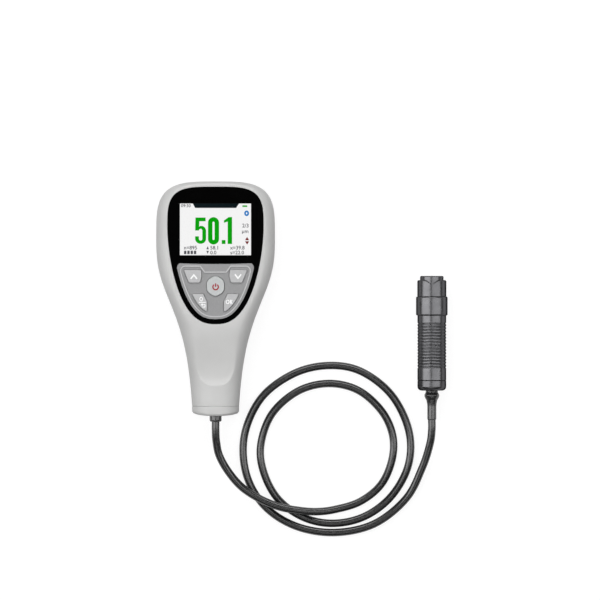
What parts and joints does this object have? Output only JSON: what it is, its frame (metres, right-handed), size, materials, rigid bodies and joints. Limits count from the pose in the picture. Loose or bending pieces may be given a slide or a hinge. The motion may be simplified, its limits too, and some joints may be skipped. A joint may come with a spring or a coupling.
{
  "type": "coating thickness gauge",
  "caption": "Handheld coating thickness gauge with a flared head, display, keypad and a sprung probe on a coiled cable.",
  "frame": {"origin": "on the resting plane, on the flat back of the rear shell, under the middle of the gauge", "axes": "+Z from the back to the display, +Y from the handle to the head, +X towards the side where the probe lies"},
  "size_m": [0.1865, 0.2272, 0.0302],
  "materials": {
    "housing_abs": "fine moulded texture",
    "fascia_acrylic": "polished",
    "clear_acrylic": "polished",
    "keypad_plastic": "satin",
    "key_plastic": "satin",
    "power_key_plastic": "satin",
    "silicone": "matte",
    "lcd_tray": "plain",
    "lcd_glass": "polished",
    "circuit_board": "solder mask",
    "chip_resin": "matte",
    "connector_nylon": "moulded",
    "screw_steel": "plated",
    "cell_jacket": "printed sleeve, plain",
    "contact_brass": "nickel plated",
    "boot_rubber": "moulded",
    "cable_jacket": "extruded",
    "probe_aluminium": "dark anodised, turned",
    "plunger_plastic": "turned",
    "pole_steel": "hard, polished tip",
    "coil_copper": "enamelled wire",
    "bobbin_nylon": "moulded",
    "spring_steel": "drawn wire",
    "lead_pvc": "extruded"
  },
  "bodies": {
    "gauge": {"front_shell": "housing_abs", "rear_shell": "housing_abs", "end_cap": "housing_abs", "fascia": "fascia_acrylic", "display_window": "clear_acrylic", "keypad_plate": "keypad_plastic", "key_mat": "silicone", "lcd_frame": "lcd_tray", "lcd_panel": "lcd_glass", "main_board": "circuit_board", "board_chips": "chip_resin", "buzzer": "chip_resin", "lead_connector": "connector_nylon", "board_screws": "screw_steel", "case_screws": "screw_steel", "batteries": "cell_jacket", "battery_contacts": "contact_brass", "gauge_boot": "boot_rubber", "inner_lead": "cable_jacket", "probe_cable": "cable_jacket", "probe_boot": "boot_rubber", "tail_cap": "probe_aluminium", "probe_barrel": "probe_aluminium", "probe_collar": "probe_aluminium", "probe_sleeve": "probe_aluminium", "plunger_spring": "spring_steel", "spring_seat": "bobbin_nylon", "probe_lead": "lead_pvc"},
    "key_up": {"key_up": "key_plastic"},
    "key_down": {"key_down": "key_plastic"},
    "key_power": {"key_power": "power_key_plastic"},
    "key_back": {"key_back": "key_plastic"},
    "key_ok": {"key_ok": "key_plastic"},
    "battery_door": {"battery_door": "housing_abs"},
    "plunger": {"probe_plunger": "plunger_plastic", "pole_core": "pole_steel", "sensor_coil": "coil_copper", "coil_bobbin": "bobbin_nylon", "coil_plug": "bobbin_nylon"}
  },
  "joints": [
    {"name": "key_up_press", "type": "slide", "parent": "gauge", "child": "key_up", "axis": [0, 0, -1], "range_m": [0, 0.0007], "stiffness_N_per_m": 1500, "deforming": ["key_mat"]},
    {"name": "key_down_press", "type": "slide", "parent": "gauge", "child": "key_down", "axis": [0, 0, -1], "range_m": [0, 0.0007], "stiffness_N_per_m": 1500, "deforming": ["key_mat"]},
    {"name": "key_power_press", "type": "slide", "parent": "gauge", "child": "key_power", "axis": [0, 0, -1], "range_m": [0, 0.0007], "stiffness_N_per_m": 1500, "deforming": ["key_mat"]},
    {"name": "key_back_press", "type": "slide", "parent": "gauge", "child": "key_back", "axis": [0, 0, -1], "range_m": [0, 0.0007], "stiffness_N_per_m": 1500, "deforming": ["key_mat"]},
    {"name": "key_ok_press", "type": "slide", "parent": "gauge", "child": "key_ok", "axis": [0, 0, -1], "range_m": [0, 0.0007], "stiffness_N_per_m": 1500, "deforming": ["key_mat"]},
    {"name": "plunger_press", "type": "slide", "parent": "gauge", "child": "plunger", "axis": [0, -1, 0], "range_m": [0, 0.0026], "stiffness_N_per_m": 800, "deforming": ["plunger_spring"]},
    {"name": "battery_door_slide", "type": "slide", "parent": "gauge", "child": "battery_door", "axis": [0, -1, 0], "range_m": [0, 0.054]}
  ]
}
